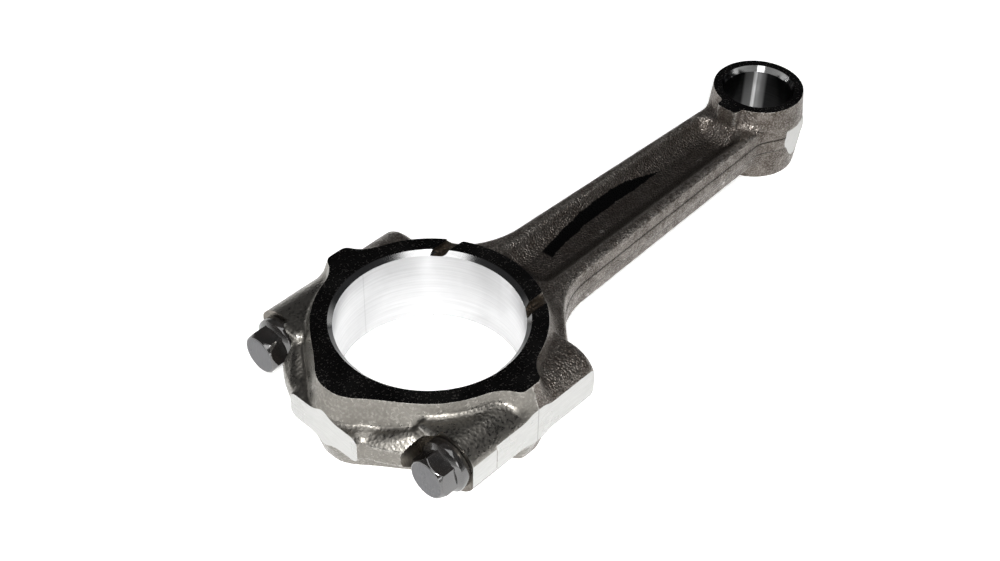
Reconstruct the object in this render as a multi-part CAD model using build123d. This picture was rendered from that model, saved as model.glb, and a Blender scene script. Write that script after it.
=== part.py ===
"""Automotive connecting rod with its bearing cap, cap bolts and cap dowels, in millimetres.

Frame: the origin is the centre of the big-end bore at half thickness. +Z is the axis of both
bores, +X points along the shank to the small end, and the rod lies on its side.
The bearing cap is the half with negative X, and the cap joint is the plane X = 0.
"""
from build123d import *
import os
from math import radians, sqrt, tan

os.makedirs("parts", exist_ok=True)

# ---- main sizes -------------------------------------------------------------------------------
centre_distance = 144.0        # big-end bore axis to small-end bore axis
thickness = 24.8               # across both thrust faces, big end and small end alike
big_bore_radius = 25.5         # housing bore, bearing shells not fitted
big_bore_chamfer = 1.25
small_bore_radius = 10.5       # gudgeon pin bore
small_bore_chamfer_wide = 0.75
small_bore_chamfer_deep = 1.9

# ---- big end ----------------------------------------------------------------------------------
thrust_ring_width = 5.8        # from the bore to the edge of the machined thrust face
thrust_draft = 19.0            # degrees, forged wall that falls away from the thrust face
thrust_wall_height = 9.0
joint_lobe_reach = big_bore_radius + 10.8    # thrust face lobe beside the cap joint, along Y
joint_lobe_half_width = 3.7
joint_lobe_root_half_width = 5.6
end_lobe_reach = big_bore_radius + 10.8      # thrust face lobe at the closed end of the cap, along -X
end_lobe_half_width = 5.2
end_lobe_root_half_width = 10.4
joint_lobe_corner = 1.6
end_lobe_corner = 3.2
lobe_root_corner = 4.6
raw_side_proud = 0.45          # forged side left standing beyond the end of the flat
raw_side_start = 15.6          # length of the flat on the cap side

# ---- bolts and their bosses -------------------------------------------------------------------
bolt_offset = big_bore_radius + 5.75         # bolt axis from the middle plane
bolt_radius = 4.0
boss_radius = bolt_radius + 4.85
flat_distance = bolt_offset + 7.55           # machined side flats, from the middle plane
boss_inner_reach = 9.5         # the boss runs this far inwards at full height
rod_boss_length = 21.8         # cap joint to the end of the boss on the rod
seat_distance = 24.3           # cap joint to the bolt seat on the cap
seat_radius = boss_radius + 0.45
bolt_hole_clearance = 0.05
thread_clearance = 0.03
thread_pitch = 1.0
thread_depth = 0.6
thread_length = 13.0
bolt_reach = 19.0              # bolt tip beyond the cap joint
waist_radius = bolt_radius - 0.45
fitted_length = 8.0            # full shank under the head
hex_across_flats = 2 * bolt_radius + 3
hex_height = 5.0
collar_height = 3.5
collar_radius = bolt_radius + 3.3
collar_top_radius = bolt_radius + 1.9
collar_side_height = 2.7
hex_chamfer_radius = hex_across_flats / 2 - 0.25
hex_chamfer_height = 1.5
hex_turn_left = 34.0           # degrees, where each hexagon stopped when tightened
hex_turn_right = -10.0

# ---- locating dowels around the bolts ----------------------------------------------------------
dowel_radius = bolt_radius + 0.9
dowel_bore_radius = bolt_radius + 0.2
dowel_depth = 4.1              # into the rod, and into the cap
dowel_clearance = 0.02         # in the cap, where the dowel slides
dowel_end_gap = 0.3

# ---- cap rib ------------------------------------------------------------------------------------
rib_radius = big_bore_radius + 13.7
rib_half_height = 4.4
rib_edge_height = 2.5          # the outer edge falls away at 45 degrees above this height
rib_flat_half_width = bolt_offset - 17.75
rib_rise_half_width = bolt_offset - 8.25
rib_rise_height = 7.3
pad_distance = big_bore_radius + 12.9        # machined balance pad, from the bore axis
pad_half_width = 12.4
pad_half_height = 4.3
pad_corner = 2.2

# ---- shank ------------------------------------------------------------------------------------
shank_half_height = 6.3
shank_draft = 3.0
shank_start = big_bore_radius + 22.5         # where the flare into the big end begins
shank_half_width_big = 13.1
shank_half_width_small = 10.7
flare_end_x = big_bore_radius + 5.0
flare_end_y = 20.8
neck_corner_x = rod_boss_length + 0.4
neck_corner_y = bolt_offset - 2.25
flash_half_height = 1.9
flash_proud = 0.25
web_half_height = 2.0
pocket_start = big_bore_radius + 9.7
pocket_half_width_big = 9.0
pocket_half_width_small = 8.0
pocket_draft = 33.0

# ---- small end --------------------------------------------------------------------------------
small_end_face_radius = small_bore_radius + 3.35
small_end_middle_radius = small_bore_radius + 4.7
shank_end = centre_distance - small_end_middle_radius - 4.8
pocket_end = centre_distance - small_end_middle_radius - 1.6
small_end_blend = 7.0
strip_half_width = 3.6         # raised strip where the web meets the small end
strip_reach = small_end_middle_radius + 1.5
strip_round = 0.8
ground_flat_distance = small_end_face_radius + 0.05
ground_flat_angle = -80.0      # degrees, direction the flat faces
ground_flat_high = 3.0

# ---- shallow slots across the thrust faces ------------------------------------------------------
slot_half_width = 1.75
slot_offset = 16.55
slot_depth = 1.4

half_thickness = thickness / 2
thrust_radius = big_bore_radius + thrust_ring_width
far = 2 * centre_distance


def both_sides(solid):
    """The solid and its mirror image below the middle plane."""
    return solid + mirror(solid, Plane.XY)


def box_between(x0, x1, y0, y1, z0, z1):
    """A plain block given by its limits."""
    middle = ((x0 + x1) / 2, (y0 + y1) / 2, (z0 + z1) / 2)
    return Pos(*middle) * Box(x1 - x0, y1 - y0, z1 - z0)


def rod_along_x(radius, x0, x1, y=0.0):
    """A round bar along X at distance y from the middle plane."""
    return Pos((x0 + x1) / 2, y, 0) * Rot(0, 90, 0) * Cylinder(radius, x1 - x0)


def thrust_outline():
    """Edge of the machined thrust face: a ring with two joint lobes and one end lobe."""
    root = thrust_radius - 2
    joint = Polygon((joint_lobe_root_half_width, root), (joint_lobe_half_width, joint_lobe_reach),
                    (-joint_lobe_half_width, joint_lobe_reach), (-joint_lobe_root_half_width, root), align=None)
    end = Polygon((-root, end_lobe_root_half_width), (-end_lobe_reach, end_lobe_half_width),
                  (-end_lobe_reach, -end_lobe_half_width), (-root, -end_lobe_root_half_width), align=None)
    outline = Circle(thrust_radius) + joint + mirror(joint, Plane.XZ) + end
    tips = [v for v in outline.vertices() if Vector(v.X, v.Y).length > thrust_radius + 2]
    outline = fillet([v for v in tips if abs(v.X) < abs(v.Y)], joint_lobe_corner)
    corners = [v for v in outline.vertices() if v.X < -end_lobe_reach + 0.1]
    outline = fillet(corners, end_lobe_corner)
    roots = [v for v in outline.vertices() if abs(Vector(v.X, v.Y).length - thrust_radius) < 0.2
             and abs(v.Y) > 1]
    return fillet(roots, lobe_root_corner)


def thrust_body():
    """Forged ring that carries both thrust faces."""
    face = Plane.XY.offset(half_thickness) * thrust_outline()
    wall = extrude(face, amount=-thrust_wall_height, taper=-thrust_draft)
    core = Cylinder(thrust_radius + thrust_wall_height * tan(radians(thrust_draft)),
                    2 * (half_thickness - thrust_wall_height))
    return both_sides(wall) + core


def bosses(x0, x1):
    """Bolt bosses on both sides, each with a full-height shoulder running inwards to the ring."""
    inner = bolt_offset - boss_inner_reach
    solid = None
    for side in (-1, 1):
        y0, y1 = sorted((side * inner, side * bolt_offset))
        boss = rod_along_x(boss_radius, x0, x1, side * bolt_offset)
        boss += box_between(x0, x1, y0, y1, -boss_radius, boss_radius)
        solid = boss if solid is None else solid + boss
    return solid


def side_cut():
    """Everything outside the machined side flats and the raw side beyond them."""
    solid = None
    for side in (-1, 1):
        outer = side * far
        flat = sorted((side * flat_distance, outer))
        raw = sorted((side * (flat_distance + raw_side_proud), outer))
        cut = box_between(-raw_side_start, far, *flat, -far, far)
        cut += box_between(-far, -raw_side_start + 0.01, *raw, -far, far)
        solid = cut if solid is None else solid + cut
    return solid


def big_bore_cut():
    """Bearing housing bore with its chamfers."""
    cut = Cylinder(big_bore_radius, thickness + 2)
    for side in (-1, 1):
        cone = Cone(big_bore_radius, big_bore_radius + 2 * big_bore_chamfer, 2 * big_bore_chamfer)
        cone = Pos(0, 0, half_thickness) * cone
        cut += cone if side > 0 else mirror(cone, Plane.XY)
    return cut


def small_bore_cut():
    """Gudgeon pin bore with its wide lead-in chamfers."""
    cut = Cylinder(small_bore_radius, thickness + 2)
    cone = Cone(small_bore_radius, small_bore_radius + 2 * small_bore_chamfer_wide,
                2 * small_bore_chamfer_deep)
    cut += both_sides(Pos(0, 0, half_thickness) * cone)
    return Pos(centre_distance, 0, 0) * cut


def shank_outline():
    """Plan of the neck, the shank and the small end in the middle plane."""
    grow = shank_half_height * tan(radians(shank_draft)) / 2
    slope = (shank_half_width_big - shank_half_width_small) / (shank_end - shank_start)
    a = (shank_start, shank_half_width_big + grow)
    b = (flare_end_x, flare_end_y)
    c = (neck_corner_x, neck_corner_y)
    d = (shank_end + 14, shank_half_width_small + grow - 14 * slope)
    upper = [TangentArc(a, b, tangent=(-1, slope)), Line(b, c), Line(c, (10, neck_corner_y)), Line(a, d)]
    lower = [mirror(edge, Plane.XZ) for edge in upper]
    closing = [Line((10, neck_corner_y), (10, -neck_corner_y)), Line(d, (d[0], -d[1]))]
    plan = make_face(upper + lower + closing)
    plan += Pos(centre_distance, 0) * Circle(small_end_middle_radius)
    inner = [v for v in plan.vertices() if v.X > shank_end and abs(v.Y) > 5
             and abs(Vector(v.X - centre_distance, v.Y).length - small_end_middle_radius) < 0.05]
    return fillet(inner, small_end_blend)


def pocket_cut():
    """Recess that leaves the I-section web, on the upper side."""
    big, small = pocket_half_width_big, pocket_half_width_small
    plan = Polygon((pocket_start, big), (pocket_start, -big), (pocket_end, -small), (pocket_end, small), align=None)
    corners = plan.vertices()
    plan = fillet([v for v in corners if v.X < shank_start], 3.4)
    plan = fillet([v for v in plan.vertices() if v.X > pocket_end - 1 and abs(v.Y) > small - 1], 4.5)
    depth = shank_half_height - web_half_height
    cut = extrude(Plane.XY.offset(shank_half_height) * plan, amount=-depth, taper=pocket_draft)
    floor = cut.faces().sort_by(Axis.Z)[0]
    return fillet(floor.edges(), 2.4)


def small_end_body():
    """Round eye of the small end, drafted both ways from the middle plane."""
    eye = Pos(0, 0, half_thickness / 2) * Cone(small_end_middle_radius, small_end_face_radius, half_thickness)
    strip = box_between(-strip_reach, 0, -strip_half_width, strip_half_width, 0, half_thickness)
    eye += fillet(strip.edges().filter_by(Axis.Y).group_by(Axis.X)[0].group_by(Axis.Z)[-1], strip_round)
    return Pos(centre_distance, 0, 0) * both_sides(eye)


def ground_flat_cut():
    """Small ground flat on the side of the small end, open towards the lower face."""
    block = box_between(ground_flat_distance, ground_flat_distance + 5, -9, 9, -thickness, ground_flat_high)
    return Pos(centre_distance, 0, 0) * Rot(0, 0, ground_flat_angle) * block


def slot_cut():
    """Shallow slots across both thrust faces on the rod half."""
    cut = None
    for side in (-1, 1):
        y0, y1 = sorted((side * (slot_offset - slot_half_width), side * (slot_offset + slot_half_width)))
        slot = box_between(12, thrust_radius + 4, y0, y1, half_thickness - slot_depth, half_thickness + 1)
        slot = fillet(slot.edges().filter_by(Axis.X).group_by(Axis.Z)[0], 0.9)
        cut = both_sides(slot) if cut is None else cut + both_sides(slot)
    return cut


def make_connecting_rod():
    """Rod forging: shank, small end and the upper half of the big end."""
    boss = bosses(0, rod_boss_length)
    rim = boss.edges().filter_by_position(Axis.X, rod_boss_length - 0.01, rod_boss_length + 0.01)
    boss = fillet(rim, 2.2)
    plan = shank_outline()
    web = both_sides(extrude(plan, amount=shank_half_height, taper=shank_draft))
    top_edges = [e for e in web.edges() if abs(abs(e.center().Z) - shank_half_height) < 0.05
                 and e.bounding_box().size.Z < 0.05 and e.center().X > 20]
    web = fillet(top_edges, 1.4)
    flash = extrude(offset(plan, flash_proud), amount=flash_half_height, both=True)
    pocket = pocket_cut()
    body = thrust_body() + boss + web + flash + small_end_body()
    body -= pocket + mirror(pocket, Plane.XY)
    body -= big_bore_cut() + small_bore_cut() + side_cut() + ground_flat_cut()
    body -= slot_cut()
    body -= box_between(-far, 0, -far, far, -far, far)
    for side in (-1, 1):
        y = side * bolt_offset
        body -= rod_along_x(dowel_radius, -1, dowel_depth, y)
        body -= rod_along_x(bolt_radius + thread_clearance, -1, rod_boss_length + 6, y)
    return body


def cap_rib():
    """Rib around the closed end of the cap, rising towards the bolt bosses."""
    start, middle = (rib_flat_half_width, rib_half_height), (rib_rise_half_width, rib_rise_height)
    end = (bolt_offset, boss_radius)
    rise = Spline(start, middle, end, tangents=[(1, 0), (1, 0)])
    quarter = make_face([Line((0, 0), (0, rib_half_height)), Line((0, rib_half_height), start), rise,
                         Line(end, (bolt_offset, 0)), Line((bolt_offset, 0), (0, 0))])
    half = quarter + mirror(quarter, Plane.YZ)
    profile = Plane.YZ * (half + mirror(half, Plane.XZ))
    bar = extrude(profile, amount=rib_radius + 2, dir=(-1, 0, 0))
    slope_height = boss_radius - rib_edge_height
    slope = Cone(rib_radius, rib_radius - slope_height, slope_height)
    plan = both_sides(Pos(0, 0, (boss_radius + rib_edge_height) / 2) * slope)
    plan += Cylinder(rib_radius, 2 * rib_edge_height)
    pad = box_between(-pad_distance, -thrust_radius, -pad_half_width, pad_half_width,
                      -pad_half_height, pad_half_height)
    return (bar & plan) + fillet(pad.edges().filter_by(Axis.X), pad_corner)


def make_bearing_cap():
    """Bearing cap: the lower half of the big end with both bolt seats."""
    body = thrust_body() + bosses(-seat_distance, 0) + cap_rib()
    body -= big_bore_cut() + side_cut()
    body -= box_between(0, far, -far, far, -far, far)
    body -= box_between(-far, -pad_distance, -far, far, -far, far)
    for side in (-1, 1):
        y = side * bolt_offset
        body -= rod_along_x(seat_radius, -far, -seat_distance, y)
        body -= rod_along_x(dowel_radius + dowel_clearance, -dowel_depth - dowel_end_gap, 1, y)
        body -= rod_along_x(bolt_radius + bolt_hole_clearance, -far, 1, y)
        outer = sorted((side * bolt_offset, side * far))
        body -= box_between(-far, -seat_distance, *outer, -far, far)
    return body


def make_cap_bolt(side):
    """Hexagon bolt with a round collar, head at the cap, thread in the rod."""
    collar_top = -seat_distance - collar_height
    head_end = collar_top - hex_height
    r, w = bolt_radius, waist_radius
    thread_start = bolt_reach - thread_length
    outline = [(-seat_distance - collar_height, 0), (collar_top, collar_top_radius),
               (-seat_distance - collar_side_height, collar_radius), (-seat_distance, collar_radius),
               (-seat_distance, r), (-seat_distance + fitted_length, r), (-seat_distance + fitted_length + 0.6, w),
               (thread_start - 0.6, w)]
    count = int(thread_length / thread_pitch)
    for index in range(count):
        x = thread_start + index * thread_pitch
        outline += [(x, r - thread_depth), (x + 0.44 * thread_pitch, r), (x + 0.56 * thread_pitch, r)]
    outline += [(bolt_reach, r - thread_depth), (bolt_reach, 0)]
    shaft = revolve(make_face(Polyline(*outline, close=True)), Axis.X)
    hexagon = Plane.YZ.offset(head_end) * RegularPolygon(hex_across_flats / 2, 6, major_radius=False)
    head = extrude(hexagon, amount=hex_height)
    cone_end = hex_chamfer_radius + (hex_height + 1) * (hex_across_flats / sqrt(3) - hex_chamfer_radius) \
        / hex_chamfer_height
    trim = Pos(head_end + (hex_height + 1) / 2, 0, 0) * Rot(0, 90, 0) \
        * Cone(hex_chamfer_radius, cone_end, hex_height + 1)
    head = Rot(hex_turn_left if side > 0 else hex_turn_right, 0, 0) * (head & trim)
    return Pos(0, side * bolt_offset, 0) * (shaft + head)


def make_cap_dowel(side):
    """Hollow dowel around the bolt, pressed into the rod and locating the cap."""
    tube = rod_along_x(dowel_radius, -dowel_depth, dowel_depth) \
        - rod_along_x(dowel_bore_radius, -dowel_depth - 1, dowel_depth + 1)
    return Pos(0, side * bolt_offset, 0) * tube


pieces = {
    "connecting_rod": make_connecting_rod(),
    "bearing_cap": make_bearing_cap(),
    "cap_bolt_left": make_cap_bolt(1),
    "cap_bolt_right": make_cap_bolt(-1),
    "cap_dowel_left": make_cap_dowel(1),
    "cap_dowel_right": make_cap_dowel(-1),
}
for name, piece in pieces.items():
    export_step(piece, "parts/" + name + ".step")
    print(name, len(piece.solids()), round(piece.volume, 1), piece.is_valid)
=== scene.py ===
"""Looks of the connecting rod: forged skin, machined faces, cap bolts, dowels, floor, lights and camera.

The rod and its cap are made the way the real ones are. A blank with rounded forged edges is built as a
distance field, turned into a mesh, and then machined by exact cutters that leave crisp edges.
All lengths are in millimetres until a mesh is written, where they become metres.
"""

import logging
from dataclasses import dataclass, field
from enum import Enum
from functools import reduce
from math import cos, pi, radians, sin, sqrt, tan
from typing import Callable, Optional

import bmesh
import bpy
import numpy as np
import openvdb
from mathutils import Matrix, Vector

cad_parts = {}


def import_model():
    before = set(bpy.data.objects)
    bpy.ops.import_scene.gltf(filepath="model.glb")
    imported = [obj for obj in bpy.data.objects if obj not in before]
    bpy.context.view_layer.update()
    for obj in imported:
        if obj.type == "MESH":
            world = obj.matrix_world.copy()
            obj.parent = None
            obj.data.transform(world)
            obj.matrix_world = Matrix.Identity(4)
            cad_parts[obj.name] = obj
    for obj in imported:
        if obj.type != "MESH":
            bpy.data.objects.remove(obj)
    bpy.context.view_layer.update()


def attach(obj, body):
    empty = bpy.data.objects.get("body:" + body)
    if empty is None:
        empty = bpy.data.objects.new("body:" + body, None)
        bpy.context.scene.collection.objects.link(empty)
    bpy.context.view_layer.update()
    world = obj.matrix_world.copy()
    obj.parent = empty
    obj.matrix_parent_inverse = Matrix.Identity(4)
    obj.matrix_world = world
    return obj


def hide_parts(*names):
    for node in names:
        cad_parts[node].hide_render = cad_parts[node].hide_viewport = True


logging.basicConfig(level=logging.INFO, format="%(name)s: %(message)s")
log = logging.getLogger("connecting_rod")

MM = 0.001
WELD = 2e-6  # metres within which points become one
SKIN_TOP = 13.2  # height of the blanks' flat top, above the machined faces
Grid = np.ndarray


# ---- sizes shared by the rod and its cap ---------------------------------------------------------
@dataclass(frozen=True)
class RodSizes:
    """Machined sizes that both halves of the big end, the bolts and the eye share."""

    centre_distance: float = 144.0
    half_thickness: float = 12.4
    big_bore: float = 25.5
    big_chamfer: float = 1.25
    eye_bore: float = 10.5
    eye_chamfer_wide: float = 0.75
    eye_chamfer_deep: float = 1.9
    thrust_radius: float = 31.3
    side_flat: float = 38.8
    raw_side: float = 39.25
    raw_side_start: float = 15.6
    bolt_offset: float = 31.25
    boss_radius: float = 8.85
    seat_distance: float = 24.3
    seat_radius: float = 9.3
    cap_hole: float = 4.05
    rod_hole: float = 4.03
    dowel_radius: float = 4.9
    dowel_depth: float = 4.1
    dowel_clearance: float = 0.02
    dowel_gap: float = 0.3
    pad_distance: float = 38.4


SIZES = RodSizes()


class Surface(Enum):
    """Material slots of a machined forging, in slot order."""

    FORGED = 0
    THRUST = 1
    BORE = 2
    CHAMFER = 3
    MILLED = 4
    EYE_BORE = 5
    SEAT = 6
    DRILLED = 7


# ---- distance field helpers ----------------------------------------------------------------------
def join(a: Grid, b: Grid, radius: float) -> Grid:
    """Union of two fields with a fillet in the valley.

    Args:
        a: First field, negative inside.
        b: Second field.
        radius: Fillet radius in millimetres.

    Returns:
        The joined field.
    """
    u, v = np.maximum(radius - a, 0), np.maximum(radius - b, 0)
    return np.maximum(radius, np.minimum(a, b)) - np.sqrt(u * u + v * v)


def trim(a: Grid, b: Grid, radius: float) -> Grid:
    """Intersection of two fields with a rounded edge.

    Args:
        a: First field, negative inside.
        b: Second field.
        radius: Edge radius in millimetres.

    Returns:
        The trimmed field.
    """
    u, v = np.maximum(radius + a, 0), np.maximum(radius + b, 0)
    return np.minimum(-radius, np.maximum(a, b)) + np.sqrt(u * u + v * v)


def band(value: Grid, low: float, high: float) -> Grid:
    """Field of the slab low < value < high."""
    return np.maximum(low - value, value - high)


@dataclass
class Lattice:
    """Regular lattice of points on which the blanks are computed.

    Args:
        low: Lowest corner in millimetres.
        high: Highest corner in millimetres.
        step: Spacing in millimetres.
    """

    low: tuple[float, float, float]
    high: tuple[float, float, float]
    step: float = 0.5

    def axes(self) -> tuple[Grid, Grid, Grid]:
        """Coordinates of the lattice points, ready to broadcast."""
        ranges = [np.arange(a, b + self.step, self.step, dtype=np.float32) for a, b in zip(self.low, self.high)]
        return ranges[0][:, None, None], ranges[1][None, :, None], ranges[2][None, None, :]

    def mesh(self, name: str, values: Grid) -> bpy.types.Object:
        """Surface of a field as a smooth mesh object in metres.

        Args:
            name: Name of the new object.
            values: The field on this lattice, negative inside.

        Returns:
            The linked mesh object.
        """
        limit = 3 * self.step
        grid = openvdb.FloatGrid(limit)
        grid.gridClass = openvdb.GridClass.LEVEL_SET
        grid.copyFromArray(np.ascontiguousarray(np.clip(values, -limit, limit)))
        grid.transform = openvdb.createLinearTransform(voxelSize=self.step)
        points, triangles, quads = grid.convertToPolygons(isovalue=0.0, adaptivity=0.0)
        points = (points + np.array(self.low)) * MM
        faces = [tuple(face[::-1]) for face in quads.tolist() + triangles.tolist()]
        mesh = bpy.data.meshes.new(name)
        mesh.from_pydata(points.tolist(), [], faces)
        mesh.validate()
        obj = link(bpy.data.objects.new(name, mesh))
        face_outwards(obj)
        return obj


def link(obj: bpy.types.Object) -> bpy.types.Object:
    """Puts an object into the scene and returns it."""
    bpy.context.scene.collection.objects.link(obj)
    return obj


def opened(mesh: bpy.types.Mesh) -> bmesh.types.BMesh:
    """A mesh opened for editing."""
    work = bmesh.new()
    work.from_mesh(mesh)
    return work


def stored(work: bmesh.types.BMesh, mesh: bpy.types.Mesh) -> bpy.types.Mesh:
    """Writes an edited mesh back and returns it."""
    work.to_mesh(mesh)
    work.free()
    return mesh


def face_outwards(obj: bpy.types.Object) -> None:
    """Recalculates a closed mesh's normals so that they point out of the solid."""
    work = opened(obj.data)
    bmesh.ops.recalc_face_normals(work, faces=work.faces)
    if work.calc_volume(signed=True) < 0:
        bmesh.ops.reverse_faces(work, faces=work.faces)
    stored(work, obj.data)


def skin_rings(work: bmesh.types.BMesh, rings: list[list[bmesh.types.BMVert]]) -> None:
    """Joins rings of equal count by quads and closes both ends."""
    count = len(rings[0])
    for first, second in zip(rings, rings[1:]):
        for index in range(count):
            after = (index + 1) % count
            work.faces.new((first[index], first[after], second[after], second[index]))
    work.faces.new(rings[0])
    work.faces.new(rings[-1])


# ---- cutters --------------------------------------------------------------------------------------
class Cutters:
    """Exact tool shapes used to machine the forged blanks."""

    def __init__(self) -> None:
        """Starts with no tools."""
        self.tools: list[bpy.types.Object] = []

    def keep(self, work: bmesh.types.BMesh, name: str) -> bpy.types.Object:
        """Turns a bmesh in millimetres into a tool object in metres.

        Args:
            work: The tool's shape, which is used up.
            name: Name of the tool.

        Returns:
            The tool.
        """
        bmesh.ops.recalc_face_normals(work, faces=work.faces)
        bmesh.ops.scale(work, vec=(MM, MM, MM), verts=work.verts)
        tool = link(bpy.data.objects.new(name, stored(work, bpy.data.meshes.new(name))))
        tool.hide_render = True
        self.tools.append(tool)
        return tool

    def block(self, low: tuple[float, float, float], high: tuple[float, float, float],
              turn: Optional[Matrix] = None) -> None:
        """Adds a plain block given by two corners, optionally turned.

        Args:
            low: Lowest corner.
            high: Highest corner.
            turn: Matrix applied to the finished block.
        """
        work = bmesh.new()
        size = [b - a for a, b in zip(low, high)]
        middle = [(a + b) / 2 for a, b in zip(low, high)]
        bmesh.ops.create_cube(work, size=1.0, matrix=Matrix.Translation(middle) @ Matrix.Diagonal((*size, 1)))
        if turn is not None:
            bmesh.ops.transform(work, matrix=turn, verts=work.verts)
        self.keep(work, "tool_block")

    def turned(self, profile: list[tuple[float, float]], centre: tuple[float, float, float],
               axis: str, segments: int = 192) -> None:
        """Adds a solid of revolution.

        Args:
            profile: (distance along the axis, radius) from one end to the other, all radii above zero.
            centre: Point on the axis.
            axis: "X" or "Z".
            segments: Facets around the axis.
        """
        work = bmesh.new()
        rings = []
        for along, radius in profile:
            ring = []
            for index in range(segments):
                angle = 2 * pi * index / segments
                a, b = radius * cos(angle), radius * sin(angle)
                place = (along, a, b) if axis == "X" else (a, b, along)
                ring.append(work.verts.new(Vector(place) + Vector(centre)))
            rings.append(ring)
        skin_rings(work, rings)
        self.keep(work, "tool_turned")

    def cut(self, blank: bpy.types.Object) -> bpy.types.Object:
        """Cuts every tool out of a blank.

        Args:
            blank: The forged blank, which is used up.

        Returns:
            A new object with the machined mesh and the blank's name.
        """
        for tool in self.tools:
            step = blank.modifiers.new("machining", "BOOLEAN")
            step.operation = "DIFFERENCE"
            step.solver = "MANIFOLD"
            step.object = tool
        mesh = evaluated_mesh(blank)
        name = blank.name
        for thing in self.tools + [blank]:
            bpy.data.objects.remove(thing, do_unlink=True)
        self.tools = []
        mesh.name = name
        return link(bpy.data.objects.new(name, mesh))


def evaluated_mesh(obj: bpy.types.Object) -> bpy.types.Mesh:
    """A plain mesh with the object's modifiers applied."""
    bpy.context.view_layer.update()
    graph = bpy.context.evaluated_depsgraph_get()
    return bpy.data.meshes.new_from_object(obj.evaluated_get(graph), depsgraph=graph)


def sharpen(obj: bpy.types.Object, degrees: float = 32.0) -> None:
    """Shades a mesh smooth and keeps edges sharper than an angle crisp.

    Args:
        obj: Mesh object.
        degrees: Angle between faces from which an edge stays crisp.
    """
    work = opened(obj.data)
    bmesh.ops.remove_doubles(work, verts=work.verts, dist=WELD)
    limit = radians(degrees)
    for face in work.faces:
        face.smooth = True
    for edge in work.edges:
        edge.smooth = len(edge.link_faces) == 2 and edge.calc_face_angle(0.0) < limit
    stored(work, obj.data)


# ---- forgings --------------------------------------------------------------------------------------
@dataclass
class ThrustRing:
    """Ring with joint lobes and an end lobe that carries the machined thrust faces."""

    draft: float = 19.0
    wall_height: float = 9.0
    root_distance: float = 29.3
    lobe_reach: float = 36.3
    joint_half_width: float = 3.7
    joint_root_half_width: float = 5.6
    joint_corner: float = 1.6
    end_half_width: float = 5.2
    end_root_half_width: float = 10.4
    end_corner: float = 3.2
    root_fillet: float = 4.6

    def lobe(self, along: Grid, across: Grid, tip: float, root: float, corner: float) -> Grid:
        """Tapered lobe that points outwards.

        Args:
            along: Distance from the bore axis along the lobe.
            across: Distance from the lobe's middle line.
            tip: Half width at the reach.
            root: Half width at the root.
            corner: Corner radius of the tip.

        Returns:
            The lobe's field in plan.
        """
        taper = (root - tip) / (self.lobe_reach - self.root_distance)
        side = (across - root + taper * (along - self.root_distance)) / sqrt(1 + taper * taper)
        return trim(side, along - self.lobe_reach, corner)

    def field(self, x: Grid, y: Grid, z: Grid) -> Grid:
        """Field of the drafted ring, open above the machined faces."""
        ring = np.sqrt(x * x + y * y) - SIZES.thrust_radius
        side = self.lobe(np.abs(y), np.abs(x), self.joint_half_width, self.joint_root_half_width, self.joint_corner)
        end = self.lobe(-x, np.abs(y), self.end_half_width, self.end_root_half_width, self.end_corner)
        end = np.maximum(end, x + 0.5 * self.root_distance)
        plan = join(join(ring, side, self.root_fillet), end, self.root_fillet)
        lift = np.minimum(SIZES.half_thickness - np.abs(z), self.wall_height)
        slope = radians(self.draft)
        return (plan - lift * tan(slope)) * cos(slope)


@dataclass
class Boss:
    """Bolt boss with a shoulder that runs inwards to the ring."""

    inner_reach: float = 9.5
    inner_round: float = 1.6
    end_round: float = 1.2

    def field(self, x: Grid, y: Grid, z: Grid, end: Grid) -> Grid:
        """Field of both bosses.

        Args:
            x: Lattice coordinates, not used.
            y: Lattice coordinates.
            z: Lattice coordinates.
            end: Field of the plane where the bosses stop.

        Returns:
            The bosses' field.
        """
        outward = np.abs(y) - SIZES.bolt_offset
        section = np.sqrt(np.maximum(outward, 0) ** 2 + z * z) - SIZES.boss_radius
        section = trim(section, -outward - self.inner_reach, self.inner_round)
        return trim(section, end, self.end_round)


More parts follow.
